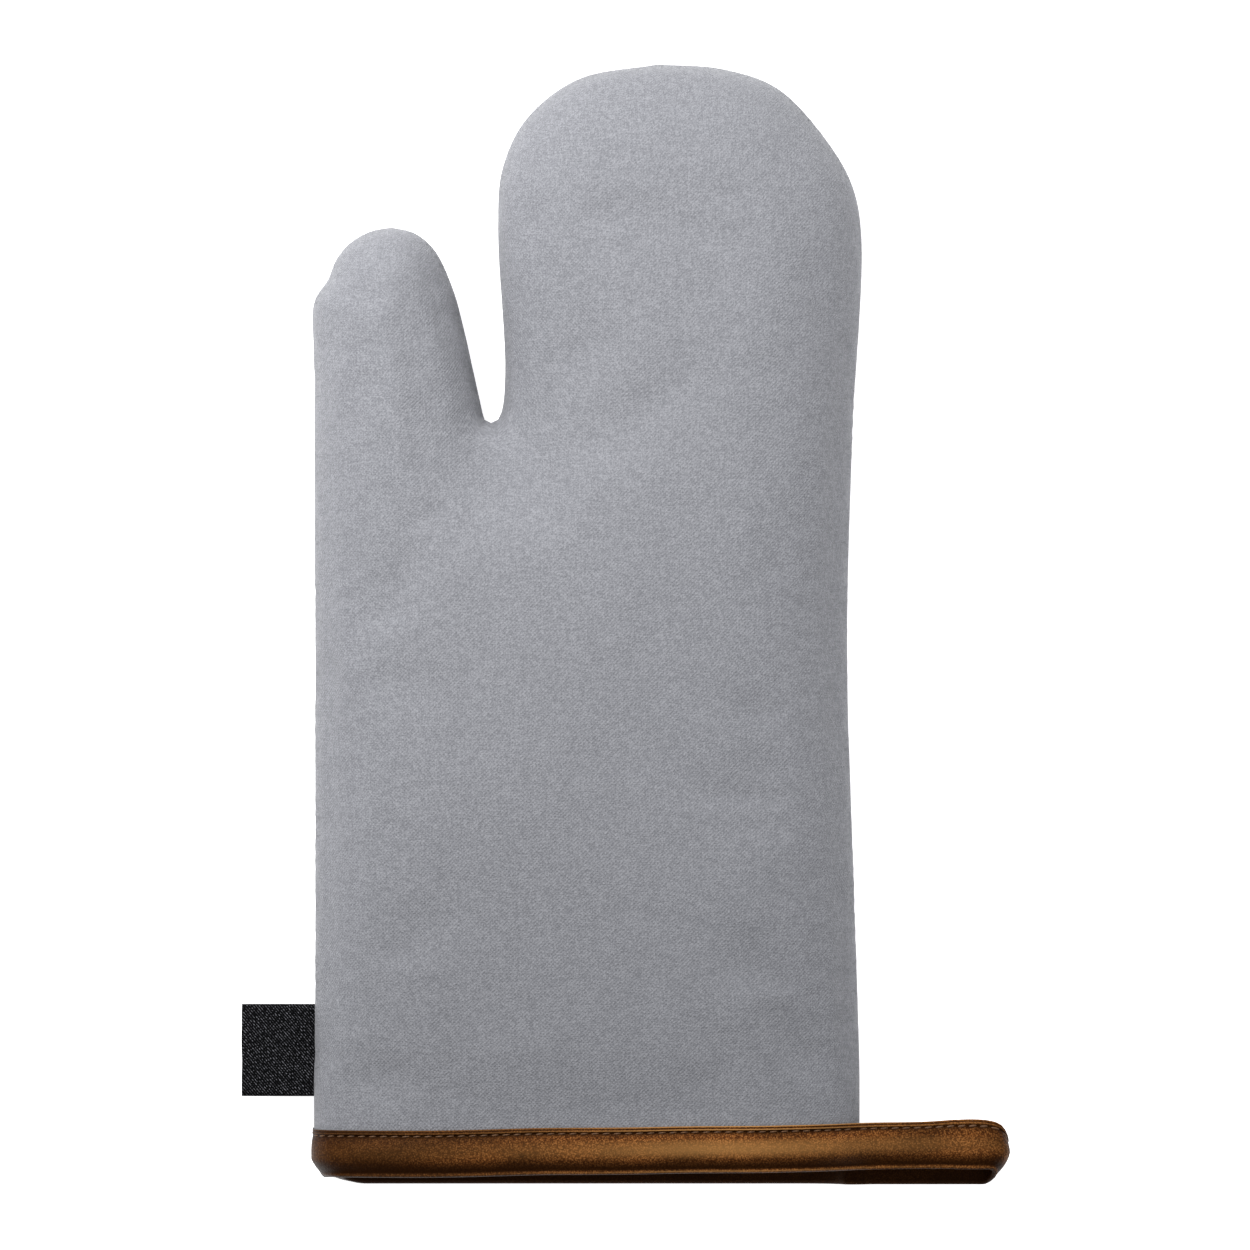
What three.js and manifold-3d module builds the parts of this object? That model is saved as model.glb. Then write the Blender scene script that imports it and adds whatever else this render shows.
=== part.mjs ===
// An oven mitt lying flat with its palm side up: a canvas shell, a wadding and a lining, each cut as a front
// and a back panel, with a leather-look binding round the cuff whose tail forms the hanging loop, and a folded
// woven label in the left side seam.
//
// Millimetres. x runs across the cuff, y from the cuff to the fingertips and z up, with z = 0 in the plane of
// the side seam. The finished group is then moved so that its origin is the bottom centre of its bounding box.
// Every panel is one cut piece of cloth. It is divided at the two fold lines, where the fingers and the thumb
// bend towards the palm, so that each side of a fold can turn as a body of its own.

import * as THREE from "three";
import { mergeVertices } from "three/addons/utils/BufferGeometryUtils.js";
import Module from "manifold-3d";

// ---- Driving sizes ----

const CUFF_WIDTH = 152.6; // side seam to side seam at the cuff
const MITT_LENGTH = 313.6; // back cuff fold to fingertip seam
const FINGERTIP_FROM_LEFT = 96.3; // left side seam to the highest point of the fingers
const CROTCH_HEIGHT = 213.4; // back cuff fold to the bottom of the notch beside the thumb
const CROTCH_FROM_LEFT = 49.6;
const CROTCH_RADIUS = 2.4;
const THUMB_TIP_HEIGHT = 268.0; // back cuff fold to thumb tip
const THUMB_TIP_FROM_LEFT = 21.6;
const WAIST_INSET = 3.0; // how far the right side seam draws in half way up the palm

const PALM_FRONT_HEIGHT = 22.0; // side seam plane to the top of the palm
const CUFF_FRONT_HEIGHT = 15.0; // the same at the mouth of the cuff
const BACK_HEIGHT = 13.0; // side seam plane down to the table
const FRONT_ROLL = 36.0; // distance from the seam over which the front panel rises to its full height
const BACK_ROLL = 16.0; // the same for the flatter panel that lies on the table

const SHELL = 0.9; // canvas
const WADDING = 5.0;
const WADDING_AT_CUFF = 1.6; // where the binding grips it
const LINING = 0.7;
const GAP = 0.3; // clearance between neighbouring solids

const BINDING_WIDTH = 13.6;
const BINDING = 1.4; // two turned thicknesses of the tape
const CUFF_STEP = 2.9; // how far the front cuff fold sits above the back one, at the middle
const CUFF_TILT = THREE.MathUtils.degToRad(0.75); // slope of the front cuff fold
const STITCH_INSET = 1.5; // binding's edge to the middle of its row of stitches
const THREAD = 0.5;

const LOOP_REACH = 40.2; // right side of the binding to the far end of the hanging loop
const LOOP_TAPE = 1.6;
const LOOP_EYE = 6.2; // clear space between the two strands
const LOOP_TAPER = 9.0; // length over which the strands part from their sewn root

const LABEL_REACH = 20.3; // left side seam to the label's fold
const LABEL_WIDTH = 25.8; // along the seam
const LABEL_HEIGHT = 24.9; // back cuff fold to the label's lower edge
const LABEL_TAPE = 0.5;

const KNUCKLE_HEIGHT = 233.8; // back cuff fold to the line where the fingers fold
const THUMB_FOLD_OFFSET = 18.4; // notch to the line where the thumb folds
const THUMB_FOLD_ANGLE = THREE.MathUtils.degToRad(60); // that line's slope above the x axis

// ---- Mesh fineness ----

const THUMB_COLUMNS = 7;
const FINGER_COLUMNS = 8;
const CUFF_ROWS = 3;
const PALM_ROWS = 8;
const THUMB_ROWS = 10;
const FINGER_ROWS = 12;
const LEVEL = 0.02; // heights are rounded to this, so that facets that are all but level are level

// ---- Values that follow ----

const LEFT = -CUFF_WIDTH / 2;
const RIGHT = CUFF_WIDTH / 2;
const STACK = SHELL + GAP + WADDING + GAP + LINING;
const BINDING_STACK = GAP + BINDING;
const BELOW_CUFF = -6; // the skins run past the cuff and are trimmed there
const GIVE_START = BINDING_WIDTH + CUFF_STEP; // the back panel gives way to the binding between these heights
const GIVE_END = 3 * BINDING_WIDTH;
const FAR = 500; // half the size of the blocks that trim other solids

const crotch = new THREE.Vector2(LEFT + CROTCH_FROM_LEFT, CROTCH_HEIGHT);
const thumbTip = new THREE.Vector2(LEFT + THUMB_TIP_FROM_LEFT, THUMB_TIP_HEIGHT);
const fingertip = new THREE.Vector2(LEFT + FINGERTIP_FROM_LEFT, MITT_LENGTH);

const wasm = await Module();
wasm.setup();

// ---- Solids ----

// A closed three.js geometry as a manifold-3d solid.
function toSolid(geometry) {
  const bare = new THREE.BufferGeometry();
  bare.setAttribute("position", geometry.getAttribute("position"));
  bare.setIndex(geometry.index);
  const merged = mergeVertices(bare, 1e-4);
  const triVerts = [];
  for (let i = 0; i < merged.index.count; i += 3) {
    const [a, b, c] = [0, 1, 2].map((k) => merged.index.getX(i + k));
    if (a !== b && b !== c && a !== c) triVerts.push(a, b, c);
  }
  return new wasm.Manifold(
    new wasm.Mesh({
      numProp: 3,
      vertProperties: merged.getAttribute("position").array,
      triVerts: new Uint32Array(triVerts),
    }),
  );
}

// A manifold-3d solid as a three.js geometry.
function toGeometry(solid) {
  const mesh = solid.getMesh();
  const geometry = new THREE.BufferGeometry();
  geometry.setAttribute("position", new THREE.BufferAttribute(mesh.vertProperties, 3));
  geometry.setIndex(new THREE.BufferAttribute(mesh.triVerts, 1));
  geometry.computeVertexNormals();
  return geometry;
}

// The block between two heights above a cuff line and between two levels, for trimming.
function slab(yLow, yHigh, zLow, zHigh, tilt = 0) {
  const box = new THREE.BoxGeometry(2 * FAR, yHigh - yLow, zHigh - zLow);
  box.translate(0, (yLow + yHigh) / 2, (zLow + zHigh) / 2);
  box.rotateZ(tilt);
  return toSolid(box);
}

// An upright prism over a polygon, for trimming.
function prism(corners) {
  const shape = new THREE.Shape(corners.map(([x, y]) => new THREE.Vector2(x, y)));
  const geometry = new THREE.ExtrudeGeometry(shape, { depth: 2 * FAR, bevelEnabled: false });
  return toSolid(geometry.translate(0, 0, -FAR));
}

// ---- The mitt's outline ----

// A smooth seam line through points, each given as an offset from a base point.
function seam(...runs) {
  const points = runs.flatMap(([base, offsets]) =>
    offsets.map(([x, y]) => new THREE.Vector3(base.x + x, base.y + y, 0)),
  );
  return new THREE.CatmullRomCurve3(points, false, "centripetal");
}

const start = [[0, 0]];

// The round bottom of the notch, towards the thumb (-1) or the fingers (+1).
const crotchBend = (side) =>
  [30, 60].map((degrees) => {
    const angle = THREE.MathUtils.degToRad(degrees);
    return [side * CROTCH_RADIUS * Math.sin(angle), CROTCH_RADIUS * (1 - Math.cos(angle))];
  });

const cuffLeft = { x: LEFT, y: BELOW_CUFF };
const cuffRight = { x: RIGHT, y: BELOW_CUFF };
const besideCrotchLeft = { x: LEFT, y: CROTCH_HEIGHT };
const besideCrotchRight = { x: RIGHT - WAIST_INSET / 2, y: CROTCH_HEIGHT };
const waistRight = { x: RIGHT - WAIST_INSET, y: 0.7 * CROTCH_HEIGHT };
const lowerRight = { x: RIGHT, y: 0.2 * CROTCH_HEIGHT };

// Each seam runs upwards. inside is +1 where the cloth lies on its right and -1 where it lies on its left.
const seams = {
  palmLeft: { inside: 1, curve: seam([cuffLeft, start], [besideCrotchLeft, start]) },
  palmRight: {
    inside: -1,
    curve: seam([cuffRight, start], [lowerRight, start], [waistRight, start], [besideCrotchRight, start]),
  },
  thumbOuter: {
    inside: 1,
    curve: seam(
      [besideCrotchLeft, start],
      [{ x: LEFT, y: THUMB_TIP_HEIGHT }, [[-0.2, -34], [-0.3, -22.5], [0.7, -19.2], [4, -14.4], [5.9, -9.5]]],
      [thumbTip, [[-11.8, -4.6], [-5.8, -1.1], [0, 0]]],
    ),
  },
  thumbInner: {
    inside: -1,
    curve: seam(
      [crotch, [[0, 0], ...crotchBend(-1), [-2.6, 3.6], [-5.1, 14.8]]],
      [thumbTip, [[20.4, -28.6], [17.3, -17.4], [12, -6.2], [6.4, -1.5], [0, 0]]],
    ),
  },
  fingerInner: {
    inside: 1,
    curve: seam(
      [crotch, [[0, 0], ...crotchBend(1), [3, 3.6], [3.8, 14.8]]],
      [fingertip, [[-44.8, -46], [-43.6, -29.4], [-36.9, -15.4], [-22.4, -4.2], [0, 0]]],
    ),
  },
  fingerOuter: {
    inside: -1,
    curve: seam(
      [besideCrotchRight, start],
      [fingertip, [[56.9, -48.6], [54.6, -35], [48.8, -23.8], [33.6, -7], [18.2, -1.4], [0, 0]]],
    ),
  },
};

// How deep a surface lies below the outer one at height y, when it lies t below it higher up. All that is inside
// the wadding comes outwards near the cuff, where the wadding is pressed thin.
function depth(t, y) {
  const insideWadding = t > SHELL + GAP + WADDING / 2;
  return insideWadding ? t - (WADDING - WADDING_AT_CUFF) * (1 - THREE.MathUtils.smoothstep(y, 0, GIVE_END)) : t;
}

// The point of a seam at a share of its length, moved into the cloth to the depth of t. The crotch and the tips
// move straight down, so that the seams that meet there still meet.
function seamPoint({ curve, inside }, share, nominal) {
  const point = curve.getPointAt(share);
  const t = depth(nominal, point.y);
  const tangent = curve.getTangentAt(share);
  const meets = [crotch, thumbTip, fingertip].some((p) => Math.hypot(p.x - point.x, p.y - point.y) < 1e-3);
  return meets
    ? new THREE.Vector2(point.x, point.y - t)
    : new THREE.Vector2(point.x + inside * t * tangent.y, point.y - inside * t * tangent.x);
}

// Shares of a length that crowd towards both ends, or towards the far end only.
const crowdEnds = (n) => Array.from({ length: n + 1 }, (_, i) => (1 - Math.cos((Math.PI * i) / n)) / 2);
const crowdTip = (n) => Array.from({ length: n + 1 }, (_, i) => Math.sin((Math.PI / 2) * (i / n)) ** 0.9);
const even = (n) => Array.from({ length: n + 1 }, (_, i) => i / n);

// Shares of the palm's length: a row at the cuff's end, rows across the part where the back panel gives way to
// the binding, and then rows that crowd towards the crotch.
function palmShares() {
  const share = (height) => (height - BELOW_CUFF) / (CROTCH_HEIGHT - BELOW_CUFF);
  const cuffRows = even(CUFF_ROWS - 1).map((s) => share(THREE.MathUtils.lerp(GIVE_START, GIVE_END, s)));
  const rest = crowdTip(PALM_ROWS).slice(1);
  return [0, ...cuffRows, ...rest.map((s) => THREE.MathUtils.lerp(cuffRows.at(-1), 1, s))];
}

// ---- Skins: the closed surfaces that bound the layers ----

// Rises from 0 at the seam to 1 at a distance of one roll, as a quarter of a circle does.
const dome = (s) => Math.sqrt(1 - (1 - THREE.MathUtils.clamp(s, 0, 1)) ** 2);

const frontHeight = (y) =>
  THREE.MathUtils.lerp(CUFF_FRONT_HEIGHT, PALM_FRONT_HEIGHT, THREE.MathUtils.smoothstep(y, 0, CROTCH_HEIGHT / 2));

// The back panel gives way at the cuff, so that the binding and the palm lie on the table together.
const backHeight = (y) =>
  BACK_HEIGHT - BINDING_STACK * (1 - THREE.MathUtils.smoothstep(y, GIVE_START, GIVE_END));

function distanceTo(polyline, point) {
  let least = Infinity;
  for (let i = 1; i < polyline.length; i++) {
    const [a, b] = [polyline[i - 1], polyline[i]];
    const run = b.clone().sub(a);
    const share = THREE.MathUtils.clamp(point.clone().sub(a).dot(run) / run.lengthSq(), 0, 1);
    least = Math.min(least, point.distanceTo(a.clone().addScaledVector(run, share)));
  }
  return least;
}

// Rows of points between two edges, with the columns crowded towards both of them.
function patch(leftEdge, rightEdge, columns) {
  return leftEdge.map((left, i) => crowdEnds(columns).map((s) => left.clone().lerp(rightEdge[i], s)));
}

// The solid inside the mitt's outer surface when that surface is moved inwards by t. It runs past the cuff.
function skin(t) {
  const edge = (name, shares) => shares.map((share) => seamPoint(seams[name], share, t));
  const palmLeft = edge("palmLeft", palmShares());
  const palmRight = edge("palmRight", palmShares());
  const palmMiddle = palmShares().map(
    (share) => new THREE.Vector2(crotch.x, THREE.MathUtils.lerp(BELOW_CUFF, crotch.y - t, share)),
  );

  // The thumb and the fingers start from the corners of the palm's last row.
  const thumbOuter = [palmLeft.at(-1), ...edge("thumbOuter", crowdTip(THUMB_ROWS)).slice(1)];
  const thumbInner = edge("thumbInner", crowdEnds(THUMB_ROWS));
  const fingerInner = edge("fingerInner", crowdEnds(FINGER_ROWS));
  const fingerOuter = [palmRight.at(-1), ...edge("fingerOuter", crowdTip(FINGER_ROWS)).slice(1)];
  const palmPatches = [
    patch(palmLeft, palmMiddle, THUMB_COLUMNS),
    patch(palmMiddle, palmRight, FINGER_COLUMNS),
  ];
  const patches = [
    ...palmPatches,
    patch(thumbOuter, thumbInner, THUMB_COLUMNS),
    patch(fingerInner, fingerOuter, FINGER_COLUMNS),
  ];
  const outline = [
    ...palmLeft,
    ...thumbOuter,
    ...thumbInner.toReversed(),
    ...fingerInner,
    ...fingerOuter.toReversed(),
    ...palmRight.toReversed(),
  ].filter((p, i, all) => i === 0 || p.distanceTo(all[i - 1]) > 1e-6);

  const lift = (point, side) => {
    const d = distanceTo(outline, point);
    const inwards = depth(t, point.y);
    const z =
      side > 0
        ? (frontHeight(point.y) - inwards) * dome(d / FRONT_ROLL)
        : (inwards - backHeight(point.y)) * dome(d / BACK_ROLL);
    return [point.x, point.y, Math.round(z / LEVEL) * LEVEL];
  };

  const positions = [];
  const quad = (a, b, c, d) => positions.push(...a, ...b, ...c, ...a, ...c, ...d);
  for (const rows of patches) {
    const front = rows.map((row) => row.map((p) => lift(p, 1)));
    const back = rows.map((row) => row.map((p) => lift(p, -1)));
    for (let i = 1; i < rows.length; i++) {
      for (let j = 1; j < rows[i].length; j++) {
        quad(front[i - 1][j - 1], front[i - 1][j], front[i][j], front[i][j - 1]);
        quad(back[i - 1][j - 1], back[i][j - 1], back[i][j], back[i - 1][j]);
      }
    }
    if (palmPatches.includes(rows)) {
      for (let j = 1; j < rows[0].length; j++) quad(back[0][j - 1], back[0][j], front[0][j], front[0][j - 1]);
    }
  }
  const geometry = new THREE.BufferGeometry();
  geometry.setAttribute("position", new THREE.Float32BufferAttribute(positions, 3));
  return toSolid(geometry);
}

// What lies between two skins.
const between = (outer, inner) => skin(outer).subtract(skin(inner));

// ---- Front and back, and the parts of the hand ----

const aboveSeam = GAP / 2;
const sides = {
  front: { cuffFold: CUFF_STEP, tilt: CUFF_TILT, zLow: aboveSeam, zHigh: FAR },
  back: { cuffFold: 0, tilt: 0, zLow: -FAR, zHigh: -aboveSeam },
};

// The side's half of space between two heights above its own cuff fold.
const sideSlab = ({ cuffFold, tilt, zLow, zHigh }, low, high) =>
  slab(cuffFold + low, cuffFold + high, zLow, zHigh, tilt);

const notchLine = crotch.x - 1.5; // a line up the notch, clear of the thumb and of the fingers
const foldRun = new THREE.Vector2(Math.cos(THUMB_FOLD_ANGLE), Math.sin(THUMB_FOLD_ANGLE));
const foldNormal = new THREE.Vector2(-foldRun.y, foldRun.x); // from the palm towards the thumb

// The height of the thumb's fold line at x, moved towards the palm by grow.
function thumbFoldAt(x, grow) {
  const on = crotch.clone().addScaledVector(foldNormal, THUMB_FOLD_OFFSET - grow);
  return on.y + ((x - on.x) * foldRun.y) / foldRun.x;
}

function fingersBlock(grow) {
  const low = KNUCKLE_HEIGHT - grow;
  return prism([[notchLine, low], [FAR, low], [FAR, FAR], [notchLine, FAR]]);
}

function thumbBlock(grow) {
  const far = LEFT - CUFF_WIDTH / 4;
  return prism([
    [notchLine, thumbFoldAt(notchLine, grow)],
    [notchLine, FAR],
    [far, FAR],
    [far, thumbFoldAt(far, grow)],
  ]);
}

const regions = {
  palm: (solid) => solid.subtract(fingersBlock(GAP / 2)).subtract(thumbBlock(GAP / 2)),
  fingers: (solid) => solid.intersect(fingersBlock(-GAP / 2)),
  thumb: (solid) => solid.intersect(thumbBlock(-GAP / 2)),
};

// ---- Materials ----

const cloth = (color, roughness) => new THREE.MeshStandardMaterial({ color, roughness, metalness: 0 });
const materials = {
  canvas: cloth(0xa2a4a9, 0.92),
  wadding: cloth(0xe9e6dd, 0.98),
  lining: cloth(0xcfcfcd, 0.95),
  leather: cloth(0x6b4220, 0.42),
  thread: cloth(0x4a2b14, 0.6),
  label: cloth(0x161616, 0.85),
};

const mitt = new THREE.Group();

function add(name, solid, material) {
  const mesh = new THREE.Mesh(toGeometry(solid), material);
  mesh.name = name;
  mitt.add(mesh);
}

// ---- Panels: three layers, front and back, divided at the folds ----

const layers = {
  shell: { outer: 0, thickness: SHELL, material: materials.canvas },
  wadding: { outer: SHELL + GAP, thickness: WADDING, material: materials.wadding },
  lining: { outer: STACK - LINING, thickness: LINING, material: materials.lining },
};

function addPanels() {
  for (const [layer, { outer, thickness, material }] of Object.entries(layers)) {
    const bag = between(outer, outer + thickness);
    for (const [side, frame] of Object.entries(sides)) {
      const panel = bag.intersect(sideSlab(frame, BINDING_STACK, FAR));
      for (const [region, keep] of Object.entries(regions)) add(`${layer}_${side}_${region}`, keep(panel), material);
    }
  }
}

// ---- Binding: a tape folded over the edge of all three layers, and its row of stitches ----

function addBinding() {
  const wrapped = between(-BINDING_STACK, STACK + BINDING_STACK);
  const channel = between(-GAP, STACK + GAP);
  const outside = -BINDING_STACK;
  const thread = between(outside, outside + THREAD);
  const groove = between(outside - GAP, outside + THREAD + GAP);
  const stitchLine = BINDING_WIDTH - STITCH_INSET;
  for (const [side, frame] of Object.entries(sides)) {
    const tape = wrapped
      .intersect(sideSlab(frame, 0, BINDING_WIDTH))
      .subtract(channel.intersect(slab(frame.cuffFold + BINDING, FAR, -FAR, FAR, frame.tilt)))
      .subtract(groove.intersect(sideSlab(frame, stitchLine - THREAD / 2 - GAP, stitchLine + THREAD / 2 + GAP)));
    add(`cuff_binding_${side}`, tape, materials.leather);
    const row = thread.intersect(sideSlab(frame, stitchLine - THREAD / 2, stitchLine + THREAD / 2));
    add(`binding_stitching_${side}`, row, materials.thread);
  }
}

// ---- Tapes that turn back on themselves: the hanging loop and the label ----

// A tape that leaves its root, turns round and comes back. Its path lies in the xz plane, as stations along one
// strand, round a half circle and back along the other. lift(share) moves it along y, share running from 0 at
// the root of the upper strand to 1 at the root of the lower one.
function turnedTape({ root, reach, taper, eye, tape, width, turnSteps, lift }) {
  const direction = Math.sign(reach);
  const rootZ = (GAP + tape) / 2;
  const strandZ = (eye + tape) / 2;
  const turnX = root + reach - direction * (strandZ + tape / 2);
  const opening = taper > 0 ? [[root, rootZ], [root + direction * taper * 0.4, (rootZ + strandZ) / 2]] : [];
  const upper = [...opening, [root + direction * taper, strandZ], [turnX, strandZ]];
  const turn = even(turnSteps)
    .slice(1, -1)
    .map((s) => [turnX + direction * strandZ * Math.sin(Math.PI * s), strandZ * Math.cos(Math.PI * s)]);
  const lower = upper.map(([x, z]) => [x, -z]).reverse();
  const path = [...upper, ...turn, ...lower].map(([x, z]) => new THREE.Vector2(x, z));

  // Each station has four corners: inner and outer face, at the tape's two edges.
  const stations = path.map((point, i) => {
    const before = path[Math.max(i - 1, 0)];
    const after = path[Math.min(i + 1, path.length - 1)];
    const along = after.clone().sub(before).normalize();
    const outward = new THREE.Vector2(-along.y, along.x).multiplyScalar(direction);
    const sharpness = i === 0 || i === path.length - 1 ? 1 : cosHalfTurn(before, point, after);
    const half = tape / 2 / sharpness;
    const low = lift(i / (path.length - 1));
    const corner = (side, y) => [point.x + side * half * outward.x, y, point.y + side * half * outward.y];
    return [corner(-1, low), corner(1, low), corner(1, low + width), corner(-1, low + width)];
  });
  return tube(stations, direction > 0);
}

// The cosine of half the angle by which a path turns at a point, which keeps a mitred tape at its thickness.
function cosHalfTurn(before, point, after) {
  const a = point.clone().sub(before).normalize();
  const b = after.clone().sub(point).normalize();
  return Math.sqrt((1 + a.dot(b)) / 2);
}

// A closed solid through rings of corners, capped at both ends.
function tube(rings, flip) {
  const positions = [];
  const triangle = (a, b, c) => positions.push(...a, ...(flip ? c : b), ...(flip ? b : c));
  const quad = (a, b, c, d) => {
    triangle(a, b, c);
    triangle(a, c, d);
  };
  for (let i = 1; i < rings.length; i++) {
    const [near, far] = [rings[i - 1], rings[i]];
    near.forEach((corner, k) => {
      const next = (k + 1) % near.length;
      quad(corner, near[next], far[next], far[k]);
    });
  }
  const [first, last] = [rings[0], rings.at(-1)];
  quad(first[0], first[3], first[2], first[1]);
  quad(last[0], last[1], last[2], last[3]);
  const geometry = new THREE.BufferGeometry();
  geometry.setAttribute("position", new THREE.Float32BufferAttribute(positions, 3));
  return toSolid(geometry);
}

// The root of a turned tape turns about its own end, so it stands off its neighbour by its half thickness.
const swingRoom = (tape) => tape + GAP / 2 + GAP;

function addLoop() {
  const side = RIGHT + BINDING_STACK;
  const room = swingRoom(LOOP_TAPE);
  const frontLow = CUFF_STEP + RIGHT * Math.tan(CUFF_TILT);
  const loop = turnedTape({
    root: side + room,
    reach: LOOP_REACH - room,
    taper: LOOP_TAPER,
    eye: LOOP_EYE,
    tape: LOOP_TAPE,
    width: BINDING_WIDTH,
    turnSteps: 9,
    lift: (share) => frontLow * (1 - THREE.MathUtils.smoothstep(share, 0.2, 0.8)),
  });
  add("hanging_loop", loop, materials.leather);
}

function addLabel() {
  const room = swingRoom(LABEL_TAPE);
  const label = turnedTape({
    root: LEFT - room,
    reach: -(LABEL_REACH - room),
    taper: 0,
    eye: GAP,
    tape: LABEL_TAPE,
    width: LABEL_WIDTH,
    turnSteps: 5,
    lift: () => LABEL_HEIGHT,
  });
  add("label_tab", label, materials.label);
}

addPanels();
addBinding();
addLoop();
addLabel();

// The origin goes to the bottom centre of the bounding box.
const bounds = new THREE.Box3().setFromObject(mitt);
const centre = bounds.getCenter(new THREE.Vector3());
mitt.position.set(-centre.x, -centre.y, -bounds.min.z);

export default mitt;
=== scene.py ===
"""The looks of a canvas oven mitt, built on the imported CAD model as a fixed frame.

Lengths inside this script are in millimetres in the CAD's row frame, and meshes are made in metres.
"""
import math

import bpy
import numpy as np
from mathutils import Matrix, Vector, noise
from mathutils.geometry import delaunay_2d_cdt
from mathutils.kdtree import KDTree


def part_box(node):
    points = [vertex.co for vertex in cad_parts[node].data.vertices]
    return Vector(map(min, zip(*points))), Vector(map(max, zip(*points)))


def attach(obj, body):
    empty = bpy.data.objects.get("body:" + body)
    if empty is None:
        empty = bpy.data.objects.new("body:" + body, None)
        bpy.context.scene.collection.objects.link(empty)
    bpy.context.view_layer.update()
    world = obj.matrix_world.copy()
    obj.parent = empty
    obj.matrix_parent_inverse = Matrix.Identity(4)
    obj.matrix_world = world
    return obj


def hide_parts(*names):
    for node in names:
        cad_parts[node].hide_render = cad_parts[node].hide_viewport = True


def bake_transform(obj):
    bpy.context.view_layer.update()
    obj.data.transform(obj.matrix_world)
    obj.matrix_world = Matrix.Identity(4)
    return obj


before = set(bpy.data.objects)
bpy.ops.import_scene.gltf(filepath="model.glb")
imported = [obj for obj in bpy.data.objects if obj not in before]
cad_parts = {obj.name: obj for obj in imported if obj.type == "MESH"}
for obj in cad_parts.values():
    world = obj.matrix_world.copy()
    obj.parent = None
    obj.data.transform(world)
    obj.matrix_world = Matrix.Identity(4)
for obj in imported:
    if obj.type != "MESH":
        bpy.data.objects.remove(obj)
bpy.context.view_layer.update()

MM = 0.001


# ---- Places and sizes, from the CAD ----


def corner(node, high):
    """A node's lowest or highest corner, in millimetres."""
    return np.array(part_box(node)[1 if high else 0]) / MM


GAP = 0.3  # the CAD's clearance between neighbouring solids
SEAM_Z = corner("shell_back_palm", True)[2] + GAP / 2
LEFT = corner("shell_front_palm", False)[0]
RIGHT = corner("shell_front_palm", True)[0]
CUFF_Y = corner("cuff_binding_back", False)[1]
FINGERTIP_Y = corner("shell_front_fingers", True)[1]
THUMB_TIP_Y = corner("shell_front_thumb", True)[1]
FRONT_TOP = corner("shell_front_palm", True)[2] - SEAM_Z

# The rest repeats the CAD's own values.
FINGERTIP_FROM_LEFT = 96.3
CROTCH_HEIGHT = 213.4
CROTCH_FROM_LEFT = 49.6
CROTCH_RADIUS = 2.4
THUMB_TIP_FROM_LEFT = 21.6
WAIST_INSET = 3.0
CUFF_FRONT_HEIGHT = 15.0
BACK_HEIGHT = SEAM_Z
ROLL = {1: 36.0, -1: 16.0}  # how far in from the seam the front (1) and the back (-1) start to roll down
SHELL = 0.9
WADDING = 5.0
WADDING_AT_CUFF = 1.6
LINING = 0.7
STACK = SHELL + GAP + WADDING + GAP + LINING
BINDING_WIDTH = 13.6
BINDING = 1.4
BINDING_STACK = GAP + BINDING
CUFF_STEP = 2.9
CUFF_TILT = math.radians(0.75)
GIVE_START = BINDING_WIDTH + CUFF_STEP
GIVE_END = 3 * BINDING_WIDTH
THUMB_FOLD_ANGLE = math.radians(60)

CROTCH = np.array([LEFT + CROTCH_FROM_LEFT, CUFF_Y + CROTCH_HEIGHT])
THUMB_TIP = np.array([LEFT + THUMB_TIP_FROM_LEFT, THUMB_TIP_Y])
FINGERTIP = np.array([LEFT + FINGERTIP_FROM_LEFT, FINGERTIP_Y])

# ---- How fine the cloth's meshes are ----

SPACING = 2.4  # between neighbouring points of the shown canvas
COARSE = 4.6  # of the inner layers and the simulated cloth

# ---- Small helpers ----


def smoothstep(x, low, high):
    """A smooth step from 0 below low to 1 above high."""
    s = np.clip((np.asarray(x, float) - low) / (high - low), 0, 1)
    return s * s * (3 - 2 * s)


def lerp(a, b, s):
    """The value a share s of the way from a to b."""
    return a + (b - a) * s


def bell(x, width):
    """A smooth bump of 1 at x = 0, nearly gone at twice the width."""
    return np.exp(-((x / width) ** 2))


def run_along(line):
    """The distance along a polyline to each of its points."""
    return np.concatenate([[0], np.cumsum(np.linalg.norm(np.diff(line, axis=0), axis=1))])


def rightwards(line):
    """The unit direction to the right of a flat polyline at each of its points."""
    along = np.gradient(line, axis=0)
    along /= np.linalg.norm(along, axis=1)[:, None]
    return np.column_stack([along[:, 1], -along[:, 0]])


def resampled(line, step):
    """A polyline's points again, evenly about step apart."""
    run = run_along(line)
    at = np.linspace(0, run[-1], max(2, round(run[-1] / step) + 1))
    return np.stack([np.interp(at, run, line[:, k]) for k in (0, 1)], axis=1)


# ---- The mitt's outline ----


def hermite(start, end, leaving, arriving, s):
    """The cubic from start to end that has the given slopes at its ends."""
    far = 3 * s**2 - 2 * s**3
    return (1 - far) * start + far * end + (s**3 - 2 * s**2 + s) * leaving + (s**3 - s**2) * arriving


def spline(points, per_span=24):
    """A centripetal Catmull-Rom curve through points, as a dense polyline."""
    p = np.array(points, float)
    p = np.vstack([2 * p[0] - p[1], p, 2 * p[-1] - p[-2]])
    out = [p[1]]
    for i in range(1, len(p) - 2):
        a, b, c, d = p[i - 1 : i + 3]
        t0, t1, t2 = (math.sqrt(np.linalg.norm(v)) for v in (b - a, c - b, d - c))
        m1 = ((b - a) / t0 - (c - a) / (t0 + t1) + (c - b) / t1) * t1
        m2 = ((c - b) / t1 - (d - b) / (t1 + t2) + (d - c) / t2) * t1
        out.extend(hermite(b, c, m1, m2, np.linspace(0, 1, per_span + 1)[1:, None]))
    return np.array(out)


def offsets(base, *pairs):
    """Points given by their steps away from a base."""
    return [np.asarray(base, float) + np.array(pair) for pair in pairs]


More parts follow.
